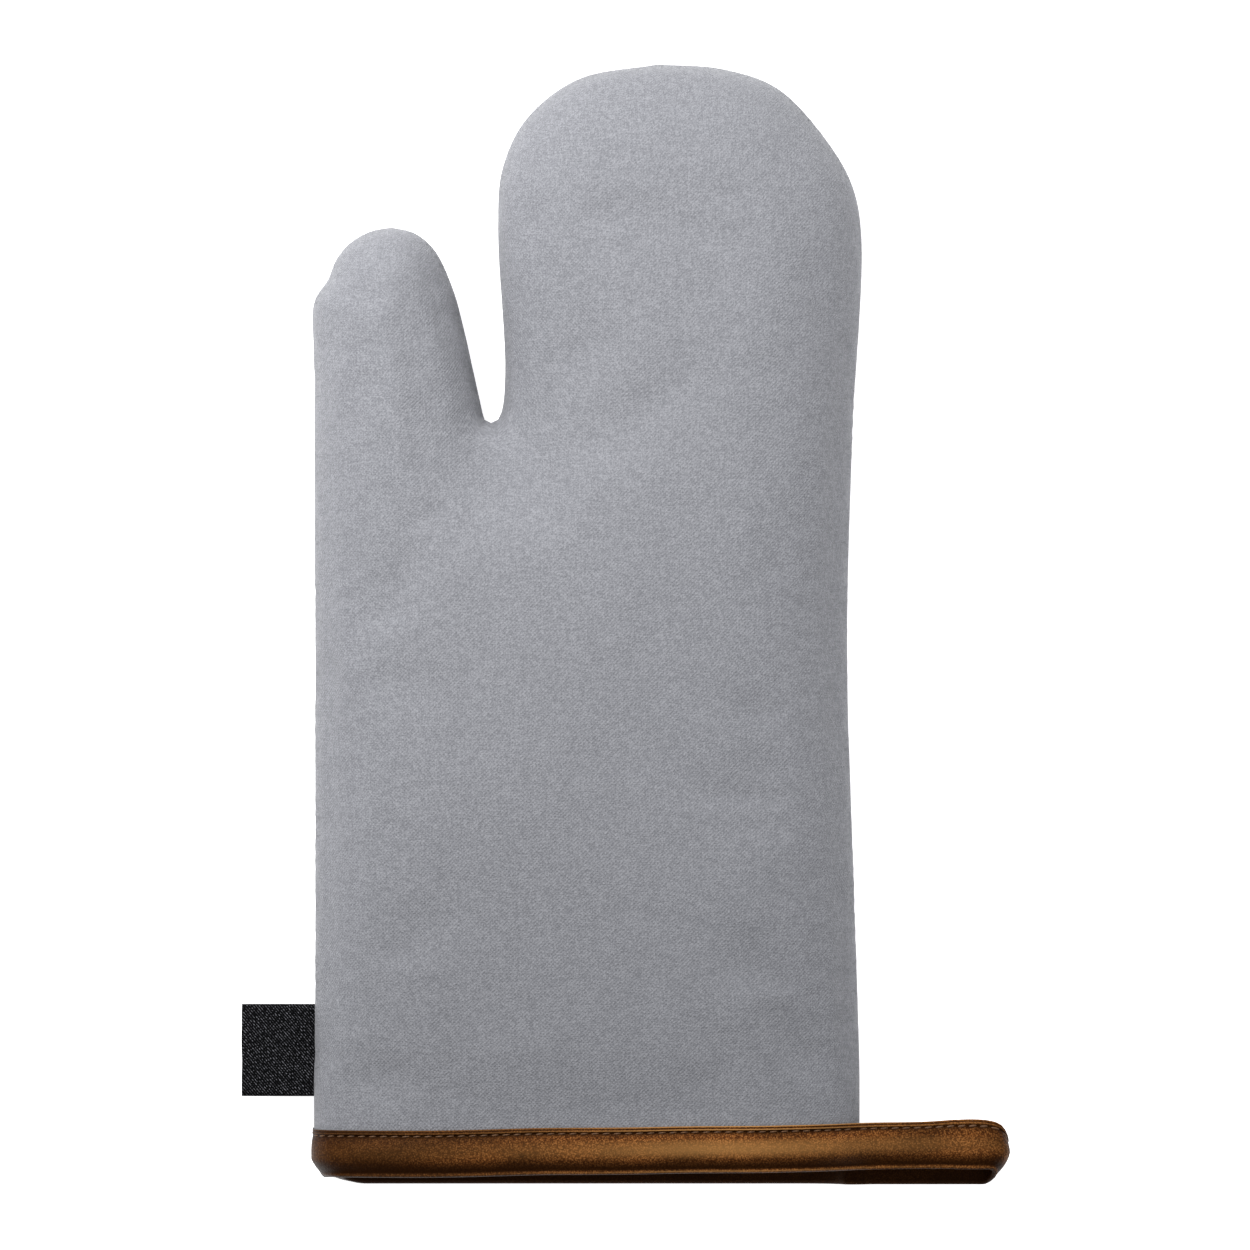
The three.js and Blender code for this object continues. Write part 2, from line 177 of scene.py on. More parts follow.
def crotch_bend(side):
    """The steps from the crotch round its small radius, towards the fingers (1) or the thumb (-1)."""
    angles = [math.radians(a) for a in (30, 60)]
    return [(side * CROTCH_RADIUS * math.sin(a), CROTCH_RADIUS * (1 - math.cos(a))) for a in angles]


def seam_curves():
    """The side seams and the seams of the thumb and fingers, each running upwards."""
    crotch_y = CROTCH[1]
    waist = (RIGHT - WAIST_INSET, CUFF_Y + 0.7 * CROTCH_HEIGHT)
    beside_right = (RIGHT - WAIST_INSET / 2, crotch_y)
    return {
        "left": spline([(LEFT, CUFF_Y), (LEFT, crotch_y)]),
        "right": spline([(RIGHT, CUFF_Y), (RIGHT, CUFF_Y + 0.2 * CROTCH_HEIGHT), waist, beside_right]),
        "thumb_outer": spline(
            [(LEFT, crotch_y)]
            + offsets((LEFT, THUMB_TIP_Y), (-0.2, -34), (-0.3, -22.5), (0.7, -19.2), (4, -14.4), (5.9, -9.5))
            + offsets(THUMB_TIP, (-11.8, -4.6), (-5.8, -1.1), (0, 0))
        ),
        "thumb_inner": spline(
            offsets(CROTCH, (0, 0), *crotch_bend(-1), (-2.6, 3.6), (-5.1, 14.8))
            + offsets(THUMB_TIP, (20.4, -28.6), (17.3, -17.4), (12, -6.2), (6.4, -1.5), (0, 0))
        ),
        "finger_inner": spline(
            offsets(CROTCH, (0, 0), *crotch_bend(1), (3, 3.6), (3.8, 14.8))
            + offsets(FINGERTIP, (-44.8, -46), (-43.6, -29.4), (-36.9, -15.4), (-22.4, -4.2), (0, 0))
        ),
        "finger_outer": spline(
            [beside_right]
            + offsets(FINGERTIP, (56.9, -48.6), (54.6, -35), (48.8, -23.8), (33.6, -7), (18.2, -1.4), (0, 0))
        ),
    }


CURVES = seam_curves()
# Once round the mitt, from the cuff's left end over the thumb and the fingers to its right end.
OUTLINE = np.vstack(
    [
        CURVES["left"][:-1],
        CURVES["thumb_outer"][:-1],
        CURVES["thumb_inner"][::-1][:-1],
        CURVES["finger_inner"][:-1],
        CURVES["finger_outer"][::-1][:-1],
        CURVES["right"][::-1],
    ]
)


def nearest_on_outline(points):
    """The distance from each point to the outline, and the unit direction there, outwards."""
    a, b = OUTLINE[:-1], OUTLINE[1:]
    run = b - a
    length2 = (run**2).sum(1)
    straight_out = np.column_stack([-run[:, 1], run[:, 0]]) / np.sqrt(length2)[:, None]
    distance = np.empty(len(points))
    outwards = np.empty((len(points), 2))
    for start in range(0, len(points), 2000):
        part = slice(start, start + 2000)
        p = points[part]
        s = np.clip(((p[:, None] - a) * run).sum(2) / length2, 0, 1)
        to = a + s[..., None] * run - p[:, None]
        d = np.linalg.norm(to, axis=2)
        i = d.argmin(1)
        rows = np.arange(len(p))
        distance[part] = d[rows, i]
        nearest = distance[part, None]
        outwards[part] = np.where(nearest < 0.01, straight_out[i], to[rows, i] / np.maximum(nearest, 0.01))
    return distance, outwards


def inside_outline(points):
    """Whether each point is inside the outline, closed along the cuff."""
    a = OUTLINE
    b = np.roll(a, -1, axis=0)
    crossings = np.zeros(len(points), int)
    for (ax, ay), (bx, by) in zip(a, b):
        spans = (ay > points[:, 1]) != (by > points[:, 1])
        if spans.any():
            x = ax + (points[:, 1] - ay) * (bx - ax) / (by - ay if by != ay else 1e-12)
            crossings += spans & (points[:, 0] < x)
    return crossings % 2 == 1


# ---- The layers' surfaces ----


def dome(s):
    """A quarter round's height, from 0 at s = 0 to 1 at s = 1 and beyond."""
    return np.sqrt(1 - (1 - np.clip(s, 0, 1)) ** 2)


def front_height(y):
    """How far the front's top stands over the seam's plane, at a height y on the mitt."""
    return lerp(CUFF_FRONT_HEIGHT, FRONT_TOP, smoothstep(y - CUFF_Y, 0, CROTCH_HEIGHT / 2))


def back_height(y):
    """How far the back's face lies under the seam's plane, less where the binding wraps it."""
    return BACK_HEIGHT - BINDING_STACK * (1 - smoothstep(y - CUFF_Y, GIVE_START, GIVE_END))


def depth(t, y):
    """How far below the outer surface a layer's face lies, with the wadding pressed thin at the cuff."""
    if t <= SHELL + GAP + WADDING / 2:
        return np.full(np.shape(y), float(t))
    return t - (WADDING - WADDING_AT_CUFF) * (1 - smoothstep(y - CUFF_Y, 0, GIVE_END))


TURNED_EDGE = 1.3  # the panel's turned edge stands this far above the seam
MOST_EDGE = 0.2  # but never more than this share of the rise


def height(points, distance, side, t):
    """The height over the seam's plane of a face t below the outer one."""
    y = points[:, 1]
    deep = depth(t, y)
    rise = (front_height(y) if side > 0 else back_height(y)) - deep
    edge = np.minimum(TURNED_EDGE, rise * MOST_EDGE)
    return side * (edge + (rise - edge) * dome((distance - deep) / ROLL[side]))


# ---- Plans: flat nets of triangles that the layers are built on ----

CUT_NORMAL = np.array([-math.sin(THUMB_FOLD_ANGLE), math.cos(THUMB_FOLD_ANGLE)])
CUT_ALONG = -np.array([math.cos(THUMB_FOLD_ANGLE), math.sin(THUMB_FOLD_ANGLE)])
CUT_LENGTH = (LEFT - CROTCH[0]) / CUT_ALONG[0]  # from the crotch down to the left side seam
CUT_FOOT = CROTCH + CUT_LENGTH * CUT_ALONG


def on_thumb(points):
    """Whether points belong to the thumb's piece, beyond the line from the crotch to the left seam."""
    return ((points - CROTCH) @ CUT_NORMAL > 0) & (points[:, 0] < CROTCH[0])


def beside(line, distance):
    """A line's points moved to its right, which is into the cloth for OUTLINE's sense."""
    return line + distance * rightwards(line)


def plan(spacing, rings, bottom):
    """A flat net inside the outline and above a height, with rings of points close to the seam.

    Returns points, triangles, and each point's distance from the outline and the direction outwards."""
    right = CURVES["right"][::-1]
    right = np.vstack([right[right[:, 1] > bottom], [(RIGHT, bottom)]])
    stretches = [
        np.array([(LEFT, bottom), CUT_FOOT]),
        np.array([CUT_FOOT, (LEFT, CROTCH[1])]),
        CURVES["thumb_outer"],
        CURVES["thumb_inner"][::-1],
        CURVES["finger_inner"],
        CURVES["finger_outer"][::-1],
        right,
    ]
    edge = np.vstack([resampled(s, spacing * 0.9)[:-1] for s in stretches] + [[(RIGHT, bottom)]])

    inner = []
    for ring in rings:
        p = beside(resampled(edge, spacing), ring)
        d, _ = nearest_on_outline(p)
        inner.append(p[(d > 0.95 * ring) & (p[:, 1] > bottom + 0.3)])
    step = spacing * math.sqrt(3) / 2
    for i, y in enumerate(np.arange(bottom + step, FINGERTIP_Y, step)):
        x = np.arange(LEFT + (i % 2) * spacing / 2, RIGHT, spacing)
        p = np.stack([x, np.full(len(x), y)], axis=1)
        p = p[inside_outline(p)]
        d, _ = nearest_on_outline(p)
        inner.append(p[d > rings[-1] + 0.6 * spacing])
    inner = np.vstack(inner)

    # The line from the crotch is a chain of edges, so that the thumb's piece can be cut off along it.
    fine = 0.05
    run = np.arange(0, CUT_LENGTH, fine)
    line = CROTCH + run[:, None] * CUT_ALONG
    d, _ = nearest_on_outline(line)
    half = len(run) // 2
    marks = [int(np.abs(d[:half] - ring).argmin()) for ring in rings]
    marks += [half + int(np.abs(d[half:] - ring).argmin()) for ring in rings]
    first, last = sorted(marks)[len(rings) - 1 : len(rings) + 1]
    marks += list(np.linspace(first, last, round((last - first) * fine / spacing) + 1).astype(int)[1:-1])
    cut = np.vstack([[CROTCH], line[sorted(set(marks))], [CUT_FOOT]])
    near = np.abs((inner - CROTCH) @ CUT_NORMAL) < 0.4 * spacing
    inner = inner[~(near & (inner[:, 0] < CROTCH[0] + 1))]

    floor_x = np.concatenate([LEFT + np.array(rings), RIGHT - np.array(rings)])
    between = np.arange(LEFT + rings[-1] + spacing, RIGHT - rings[-1], spacing)
    floor_x = np.sort(np.concatenate([floor_x, between]))
    floor = np.stack([floor_x, np.full(len(floor_x), bottom)], axis=1)[::-1]

    loop = np.vstack([edge, floor])
    points = np.vstack([loop, cut[1:-1], inner])
    n = len(loop)
    start = int(np.linalg.norm(loop - CROTCH, axis=1).argmin())
    end = int(np.linalg.norm(loop - CUT_FOOT, axis=1).argmin())
    chain = [start, *range(n, n + len(cut) - 2), end]
    edges = [(i, (i + 1) % n) for i in range(n)] + list(zip(chain[:-1], chain[1:]))
    inside_only = 1
    made = delaunay_2d_cdt([Vector(p) for p in points], edges, [], inside_only, 1e-5)
    points = np.array([v[:] for v in made[0]])
    triangles = np.array([t for t in made[2] if len(t) == 3])
    a, b, c = (points[triangles[:, k]] for k in range(3))
    area = (b[:, 0] - a[:, 0]) * (c[:, 1] - a[:, 1]) - (b[:, 1] - a[:, 1]) * (c[:, 0] - a[:, 0])
    triangles[area < 0] = triangles[area < 0][:, ::-1]
    triangles = triangles[np.abs(area) > 1e-6]
    distance, outwards = nearest_on_outline(points)
    return points, triangles, distance, outwards


def open_edges(triangles):
    """The directed edges that only one triangle uses."""
    edges = np.concatenate([triangles[:, [0, 1]], triangles[:, [1, 2]], triangles[:, [2, 0]]])
    known = {tuple(e) for e in edges.tolist()}
    return [e for e in known if (e[1], e[0]) not in known]


def vertex_normals(points, triangles):
    """Smooth unit normals of a triangle mesh."""
    a, b, c = (points[triangles[:, k]] for k in range(3))
    face = np.cross(b - a, c - a)
    normals = np.zeros_like(points)
    for k in range(3):
        np.add.at(normals, triangles[:, k], face)
    return normals / np.maximum(np.linalg.norm(normals, axis=1), 1e-12)[:, None]


# ---- How the padded cloth swells and wrinkles ----

PUCKER = 0.34  # how high the puckers by the seam stand
PUCKER_SIZE = 4.6
ALLOWANCE = 3.0  # how far from the seam the edge of the seam allowance shows through
HAND_SWELL = 1.5  # how far the padding bulges along the ball of the hand
CROTCH_PULL = 3.0  # how far the crotch pulls the cloth in
SIMULATED_FRAMES = 20
MOST_SHIFT = 2.0  # how far the simulation may move the cloth


def noise_at(points, scale, seed):
    """Smooth noise from -1 to 1 at points in the plane, with features about scale apart."""
    return np.array([noise.noise((x / scale, y / scale, seed)) for x, y in points])


def relief(points, distance, side):
    """How far the canvas stands out by its seam: puckers, and the edge of the seam allowance inside."""
    by_seam = np.exp(-distance / 6.5) * smoothstep(distance, 0, 1.6)
    puckers = PUCKER * noise_at(points, PUCKER_SIZE, 3.1 * side) * by_seam
    ridge_share = lerp(0.45, 1, smoothstep(points[:, 0], CROTCH[0], RIGHT))
    ridge = -0.2 * ridge_share * bell(distance - ALLOWANCE, 0.6)
    return (puckers + ridge) * smoothstep(points[:, 1] - CUFF_Y, BINDING_WIDTH, 2 * BINDING_WIDTH)


def fold_along(points, start, end, width, left=1.0):
    """A soft fold's share at points: from 1 down to what is left along a line, fading beside it."""
    run = np.array(end) - start
    s = np.clip(((points - start) @ run) / (run @ run), 0, 1)
    apart = np.linalg.norm(points - start - s[:, None] * run, axis=1)
    return lerp(1, left, s) * bell(apart, width)


def hollows(points, distance, side):
    """How far all layers stand out together: the wadding is uneven, and the crotch pulls the cloth in."""
    away = smoothstep(distance, 3, 26) * smoothstep(points[:, 1] - CUFF_Y, BINDING_WIDTH, 3 * BINDING_WIDTH)
    uneven = 0.45 * noise_at(points * (1, 0.7), 38, 7 + side) + 0.15 * noise_at(points, 15, 11 + side)
    swell = HAND_SWELL * fold_along(points, CROTCH + (50, -30), CROTCH + (4, -98), 24)
    below = CROTCH + (5, -17)
    across_thumb = fold_along(points, below, CROTCH + (-34, -38), 15, 0.2)
    up_fingers = fold_along(points, below, CROTCH + (26, 44), 14, 0.1)
    pull_by_crotch = np.maximum(across_thumb, up_fingers) * smoothstep(distance, 0.5, 9)
    return away * (uneven + swell) - CROTCH_PULL * pull_by_crotch


def swollen(quick):
    """Simulates the canvas as cloth under the wadding's pressure, held along its seams and at the cuff.

    Returns, for each side, where the simulated points rest and how far each has moved."""
    if quick:
        return None
    points, triangles, distance, _ = plan(COARSE, (1.2, 3.4), CUFF_Y + BINDING_WIDTH)
    n = len(points)
    on_seam = distance < 1e-3
    front = np.column_stack([points, SEAM_Z + height(points, distance, 1, 0)])
    back = np.column_stack([points, SEAM_Z + height(points, distance, -1, 0)])
    front[on_seam, 2] = back[on_seam, 2] = SEAM_Z
    index = np.where(on_seam, np.arange(n), n + np.arange(n))
    places = np.vstack([front, back])
    faces = np.vstack([triangles, index[triangles][:, ::-1]])
    held = np.concatenate([on_seam, on_seam]) | (places[:, 1] < CUFF_Y + BINDING_WIDTH + 1)
    used = np.unique(faces)
    renumber = np.full(2 * n, -1)
    renumber[used] = np.arange(len(used))
    places, faces, held = places[used], renumber[faces], held[used]

    mesh = bpy.data.meshes.new("swelling")
    mesh.from_pydata((places * MM).tolist(), [], faces.tolist())
    cloth_object = bpy.data.objects.new("swelling", mesh)
    bpy.context.scene.collection.objects.link(cloth_object)
    pins = cloth_object.vertex_groups.new(name="held")
    pins.add([int(i) for i in np.flatnonzero(held)], 1.0, "ADD")
    cloth = cloth_object.modifiers.new("cloth", "CLOTH").settings
    cloth.quality = 6
    cloth.mass = 0.3
    cloth.tension_stiffness = cloth.compression_stiffness = 22
    cloth.bending_stiffness = 1.2
    cloth.shrink_min = -0.008
    cloth.use_pressure = True
    cloth.uniform_pressure_force = 3.2
    cloth.effector_weights.gravity = 0
    cloth.vertex_group_mass = "held"
    scene = bpy.context.scene
    for number in range(1, SIMULATED_FRAMES + 1):
        scene.frame_set(number)
    evaluated = cloth_object.evaluated_get(bpy.context.evaluated_depsgraph_get())
    moved = np.array([v.co for v in evaluated.data.vertices]) / MM
    scene.frame_set(1)
    bpy.data.objects.remove(cloth_object)

    shift = moved - places
    size = np.linalg.norm(shift, axis=1)
    shift *= (MOST_SHIFT * np.tanh(size / MOST_SHIFT) / np.maximum(size, 1e-9))[:, None]
    above = places[:, 2] - SEAM_Z
    fields = {}
    for side in (1, -1):
        mine = side * above > -1e-6
        fields[side] = (places[mine][:, :2], shift[mine])
    return fields


def carried(fields, side, points):
    """The simulated movement at points of a panel, from the nearest simulated ones."""
    if fields is None:
        return np.zeros((len(points), 3))
    places, shift = fields[side]
    tree = KDTree(len(places))
    for i, (x, y) in enumerate(places):
        tree.insert((x, y, 0), i)
    tree.balance()
    out = np.empty((len(points), 3))
    for k, (x, y) in enumerate(points):
        found = tree.find_n((x, y, 0), 7)
        reach = found[-1][2] + 1e-6
        weights = np.array([(1 - f[2] / reach) ** 2 + 1e-6 for f in found])
        out[k] = weights @ shift[[f[1] for f in found]] / weights.sum()
    return out


# ---- Making objects ----


def make_object(name, places, faces, material, normals=None, **patterns):
    """A smooth mesh object from places in millimetres, with its patterns' vectors on its points."""
    mesh = bpy.data.meshes.new(name)
    mesh.from_pydata((np.asarray(places) * MM).tolist(), [], [[int(i) for i in f] for f in faces])
    mesh.shade_smooth()
    for attribute, vectors in patterns.items():
        layer = mesh.attributes.new(attribute, "FLOAT_VECTOR", "POINT")
        layer.data.foreach_set("vector", np.asarray(vectors, float).ravel())
    if normals is not None:
        mesh.normals_split_custom_set_from_vertices(normals.tolist())
    mesh.materials.append(material)
    obj = bpy.data.objects.new(name, mesh)
    bpy.context.scene.collection.objects.link(obj)
    return obj


def picked(places, faces, *values):
    """Only the points that the faces use, with the faces and the other values per point to match."""
    used = np.unique(np.concatenate([np.ravel(f) for f in faces]))
    renumber = np.full(len(places), -1)
    renumber[used] = np.arange(len(used))
    return places[used], [renumber[np.asarray(f)] for f in faces], *(v[used] for v in values)


# ---- Materials ----


def srgb(red, green, blue):
    """A linear colour from its 0 to 255 values on screen."""
    shares = (red / 255, green / 255, blue / 255)
    return tuple(c / 12.92 if c <= 0.04045 else ((c + 0.055) / 1.055) ** 2.4 for c in shares)


class Nodes:
    """A short way to write a material's nodes."""

    def __init__(self, name):
        self.material = bpy.data.materials.new(name)
        self.material.use_nodes = True
        self.tree = self.material.node_tree
        self.surface = self.tree.nodes["Principled BSDF"]

    def add(self, kind, settings=(), **inputs):
        """A new node with its settings and its inputs."""
        node = self.tree.nodes.new(kind)
        for key, value in dict(settings).items():
            setattr(node, key, value)
        for key, value in inputs.items():
            self.put(node.inputs[key.replace("_", " ")], value)
        return node

    def put(self, socket, value):
        """Links an output to a socket, or sets the socket's value."""
        if isinstance(value, bpy.types.NodeSocket):
            self.tree.links.new(value, socket)
        else:
            socket.default_value = value

    def math(self, operation, *values):
        node = self.add("ShaderNodeMath", {"operation": operation})
        for socket, value in zip(node.inputs, values):
            self.put(socket, value)
        return node.outputs[0]

    def attribute(self, name):
        return self.add("ShaderNodeAttribute", {"attribute_name": name}).outputs["Vector"]

    def place(self):
        """The point in the piece's own frame, in millimetres."""
        return self.stretched(self.add("ShaderNodeTexCoord").outputs["Object"], 1 / MM, 1 / MM, 1 / MM)

    def stretched(self, vector, x, y, z):
        node = self.add("ShaderNodeVectorMath", {"operation": "MULTIPLY"})
        self.put(node.inputs[0], vector)
        node.inputs[1].default_value = (x, y, z)
        return node.outputs[0]

    def noise(self, vector, size, detail=2.0, roughness=0.5):
        """Noise from 0 to 1 whose features are about size millimetres apart."""
        inputs = {"Vector": vector, "Scale": 1 / size, "Detail": detail, "Roughness": roughness}
        return self.add("ShaderNodeTexNoise", **inputs).outputs["Fac"]

    def ramp(self, value, *stops):
        """A colour for each value, from stops of a value with a screen colour or a grey."""
        node = self.add("ShaderNodeValToRGB", Fac=value)
        elements = node.color_ramp.elements
        while len(elements) < len(stops):
            elements.new(0.5)
        for element, (position, colour) in zip(elements, stops):
            element.position = position
            element.color = (*(srgb(*colour) if isinstance(colour, tuple) else [colour] * 3), 1)
        return node.outputs["Color"]

    def mixed(self, share, a, b, how="MIX"):
        node = self.add("ShaderNodeMix", {"data_type": "RGBA", "blend_type": how})
        self.put(node.inputs[0], share)
        self.put(node.inputs[6], a)
        self.put(node.inputs[7], b)
        return node.outputs[2]

    def bump(self, height, distance):
        """A bumped normal, its height running from 0 to 1 over distance in millimetres."""
        node = self.add("ShaderNodeBump", Height=height, Strength=1.0, Distance=distance * MM)
        return node.outputs["Normal"]

    def finish(self, colour, normal, roughness, **others):
        """The material, once its surface has everything."""
        inputs = {"Base Color": colour, "Normal": normal, "Roughness": roughness, **others}
        for key, value in inputs.items():
            self.put(self.surface.inputs[key.replace("_", " ")], value)
        return self.material


CANVAS_PITCH = 0.56  # from thread to thread
RIB_PITCH = 0.85  # from rib to rib of the label's twill


def plain_weave(n, cloth, pitch):
    """The height of a plain weave: threads that pass over and under each other at a pitch."""
    parts = n.add("ShaderNodeSeparateXYZ", Vector=n.stretched(cloth, math.pi / pitch, math.pi / pitch, 0))
    over = n.math("MULTIPLY", *(n.math("SINE", parts.outputs[k]) for k in (0, 1)))
    return n.math("MULTIPLY_ADD", over, 0.5, 0.5)


def canvas_material():
    """Grey cotton canvas: uneven threads both ways, a little lighter and darker in patches."""
    n = Nodes("canvas")
    cloth = n.attribute("weave")
    warp = n.noise(n.stretched(cloth, 1, 0.2, 1), 0.36, 0)
    weft = n.noise(n.stretched(cloth, 0.2, 1, 1), 0.36, 0)
    specks = n.noise(cloth, 0.33, 0)
    patches = n.noise(cloth, 9, 2, 0.5)
    threads = n.math("ADD", n.math("ADD", warp, weft), n.math("MULTIPLY", specks, 2.0))
    threads = n.math("DIVIDE", threads, 4.0)
    tone = n.ramp(threads, (0.36, (113, 114, 119)), (0.5, (125, 126, 131)), (0.64, (138, 139, 144)))
    tone = n.mixed(0.5, tone, n.ramp(patches, (0.3, 0.488), (0.7, 0.512)), "OVERLAY")
    over = n.math("MULTIPLY", plain_weave(n, cloth, CANVAS_PITCH), 0.45)
    height = n.math("ADD", over, threads)
    return n.finish(tone, n.bump(height, 0.22), 0.88, Sheen_Weight=0.12, Specular_IOR_Level=0.25)


def wadding_material():
    """White polyester wadding."""
    n = Nodes("wadding")
    place = n.place()
    fibres = n.noise(n.stretched(place, 1, 1, 3), 1.6, 4, 0.7)
    tone = n.ramp(fibres, (0.3, (205, 203, 196)), (0.7, (240, 239, 234)))
    return n.finish(tone, n.bump(fibres, 0.8), 0.95)


def lining_material():
    """Natural cotton lining, finer than the canvas."""
    n = Nodes("lining")
    place = n.place()
    threads = n.noise(n.stretched(place, 1, 0.1, 1), 0.35, 2)
    slubs = n.noise(n.stretched(place, 0.1, 1, 1), 0.35, 2)
    both = n.math("MULTIPLY", n.math("ADD", threads, slubs), 0.5)
    tone = n.ramp(both, (0.35, (188, 184, 174)), (0.65, (219, 216, 207)))
    return n.finish(tone, n.bump(both, 0.12), 0.9)


def leather_material():
    """Brown leather: fine pebbles with dark gaps, with painted shade where it turns away at a fold or in the
    groove and painted highlights on the lip and the middle of the face.
    """
    n = Nodes("leather")
    along = n.attribute("tape")
    pebbles = n.add("ShaderNodeTexVoronoi", Vector=along, Scale=1 / 0.55)
    grain = n.math("ADD", n.math("MULTIPLY", pebbles.outputs["Distance"], 0.5), n.noise(along, 0.36, 1, 0.6))
    clouds = n.noise(n.stretched(along, 0.3, 1, 1), 7, 2, 0.5)
    tone = n.ramp(grain, (0.5, (138, 90, 47)), (0.72, (93, 53, 22)), (0.92, (54, 26, 8)))
    tone = n.mixed(1.0, tone, n.ramp(clouds, (0.35, 0.33), (0.65, 0.72)), "OVERLAY")
    # The "fold" point attribute holds painted shade (x) and painted highlight (y).
    painted_light = n.add("ShaderNodeSeparateXYZ", Vector=n.attribute("fold"))
    # Painted shade: mixes towards a near black brown.
    tone = n.mixed(painted_light.outputs[0], tone, (*srgb(26, 8, 1), 1))
    # Painted highlight: mixes towards a pale tan.
    tone = n.mixed(painted_light.outputs[1], tone, (*srgb(168, 122, 70), 1))
    rough = n.math("MULTIPLY_ADD", grain, 0.2, 0.3)
    normal = n.bump(n.math("MULTIPLY", grain, -1.0), 0.12)
    return n.finish(tone, normal, rough, IOR=1.16, Specular_Tint=(1.0, 0.65, 0.35, 1))


def thread_material():
    """Brown sewing thread, twisted."""
    n = Nodes("thread")
    place = n.place()
    twist = n.noise(n.stretched(place, 3, 1, 1), 0.5, 2)
    tone = n.ramp(twist, (0.35, (58, 34, 14)), (0.65, (112, 75, 40)))
    return n.finish(tone, n.bump(twist, 0.08), 0.6)


def label_material():
    """Black twill tape: fine slanting ribs with paler specks between the threads."""
    n = Nodes("label")
    along = n.attribute("tape")
    parts = n.add("ShaderNodeSeparateXYZ", Vector=along)
    slant = n.math("ADD", parts.outputs[0], n.math("MULTIPLY", parts.outputs[1], -0.85))
    rib = n.math("SINE", n.math("MULTIPLY", slant, 2 * math.pi / RIB_PITCH))
    height = n.math("ADD", n.math("MULTIPLY", rib, 0.28), n.noise(along, 0.55, 1, 0.7))
    tone = n.ramp(height, (0.5, (4, 4, 5)), (0.72, (18, 18, 20)), (0.96, (122, 122, 128)))
    return n.finish(tone, n.bump(height, 0.2), 0.95, IOR=1.15)


# ---- The panels: canvas, wadding and lining, front and back ----

SEAM_RINGS = ((0.35, 0.65), (1.2, 0.12), (3.0, 0.12))  # how the canvas turns in at the seam: inset, height
SLIDE = 12.0  # how far from the seam the inner layers' points are drawn in
SHORT_OF_CROTCH = 4.0  # how much further the inner layers stay from the seam at the crotch
CROTCH_SINK = 0.4  # and how far they sink below the canvas there, as a share of that
CROTCH_REACH = 9.0
OFF_TABLE = 0.02  # how far the outer face of the back stays above the table
SIDES = {"front": 1, "back": -1}


def arc_gain(side):
    """How much further it is along the cloth than across the plan, from the roll's top outwards."""
    d = np.linspace(0, ROLL[side], 400)
    h = (FRONT_TOP if side > 0 else BACK_HEIGHT) * dome(d / ROLL[side])
    gain = np.hypot(np.diff(d), np.diff(h)) - np.diff(d)
    return d, np.concatenate([np.cumsum(gain[::-1])[::-1], [0]])


def weave_places(points, distance, outwards, side):
    """Where points of a panel lie in the flat cloth, so that threads aren't stretched on rolled edges."""
    d, gain = arc_gain(side)
    flat = points + outwards * np.interp(distance, d, gain)[:, None]
    return np.column_stack([flat, np.full(len(flat), 20.0 * side)])


def layer_face(net, fields, side, t, canvas=False):
    """The places of a net's points on the face of a layer t below the outer surface."""
    points, _, distance, outwards = net
    short = SHORT_OF_CROTCH * bell(np.linalg.norm(points - CROTCH, axis=1), CROTCH_REACH) * (t > 0)
    draw_in = (t + short) * np.clip(1 - distance / SLIDE, 0, 1)
    points = points - outwards * draw_in[:, None]
    distance = distance + draw_in
    z = height(points, distance, side, t) - side * CROTCH_SINK * short
    out = hollows(points, distance, side) + (relief(points, distance, side) if canvas else 0)
    free = smoothstep(points[:, 1] - CUFF_Y, BINDING_WIDTH, 3 * BINDING_WIDTH)[:, None]
    places = np.column_stack([points, SEAM_Z + z + side * out]) + free * carried(fields, side, points)
    places[:, 2] = np.clip(places[:, 2], OFF_TABLE + t, None)
    return places


def canvas_panel(net, fields, side):
    """A panel of canvas as places, faces, normals and weave, with its edge turned in at the seam."""
    points, triangles, distance, outwards = net
    places = layer_face(net, fields, side, 0, canvas=True)
    weave = weave_places(points, distance, outwards, side)
    faces = triangles if side > 0 else triangles[:, ::-1]
    rim = [e for e in open_edges(faces) if distance[list(e)].max() < 1e-3]
    around = sorted({i for e in rim for i in e})
    row = dict(zip(around, range(len(around))))
    all_places, all_weave, turned = [places], [weave], []
    previous = {i: i for i in around}
    for inset, z in SEAM_RINGS:
        start = sum(len(p) for p in all_places)
        ring = points[around] - outwards[around] * inset
        all_places.append(np.column_stack([ring, np.full(len(ring), SEAM_Z + side * z)]))
        all_weave.append(weave[around])
        here = {i: start + row[i] for i in around}
        for a, b in rim:
            turned.append((b, (previous[b], previous[a], here[a], here[b])))
        previous = here
    quads = np.array([q for _, q in turned])
    owner = np.array([i for i, _ in turned])
    places, weave = np.vstack(all_places), np.vstack(all_weave)
    split = np.vstack([faces, quads[:, [0, 1, 2]], quads[:, [0, 2, 3]]])
    normals = vertex_normals(places, split)
    return places, faces, quads, owner, normals, weave


def fold_thumb(obj):
    """Bakes a thumb piece's transform into its mesh."""
    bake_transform(obj)


def fold_fingers(obj):
    """Bakes the palm and fingers' piece's transform into its mesh."""
    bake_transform(obj)


def finish_layer(obj, part, layer, side_name):
    """What every piece of a layer needs: the CAD nodes it stands for are hidden, and its transform is baked.
    """
    nodes = ("thumb",) if part == "thumb" else ("palm", "fingers")
    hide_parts(*(f"{layer}_{side_name}_{node}" for node in nodes))
    if part == "thumb":
        fold_thumb(obj)
    else:
        fold_fingers(obj)


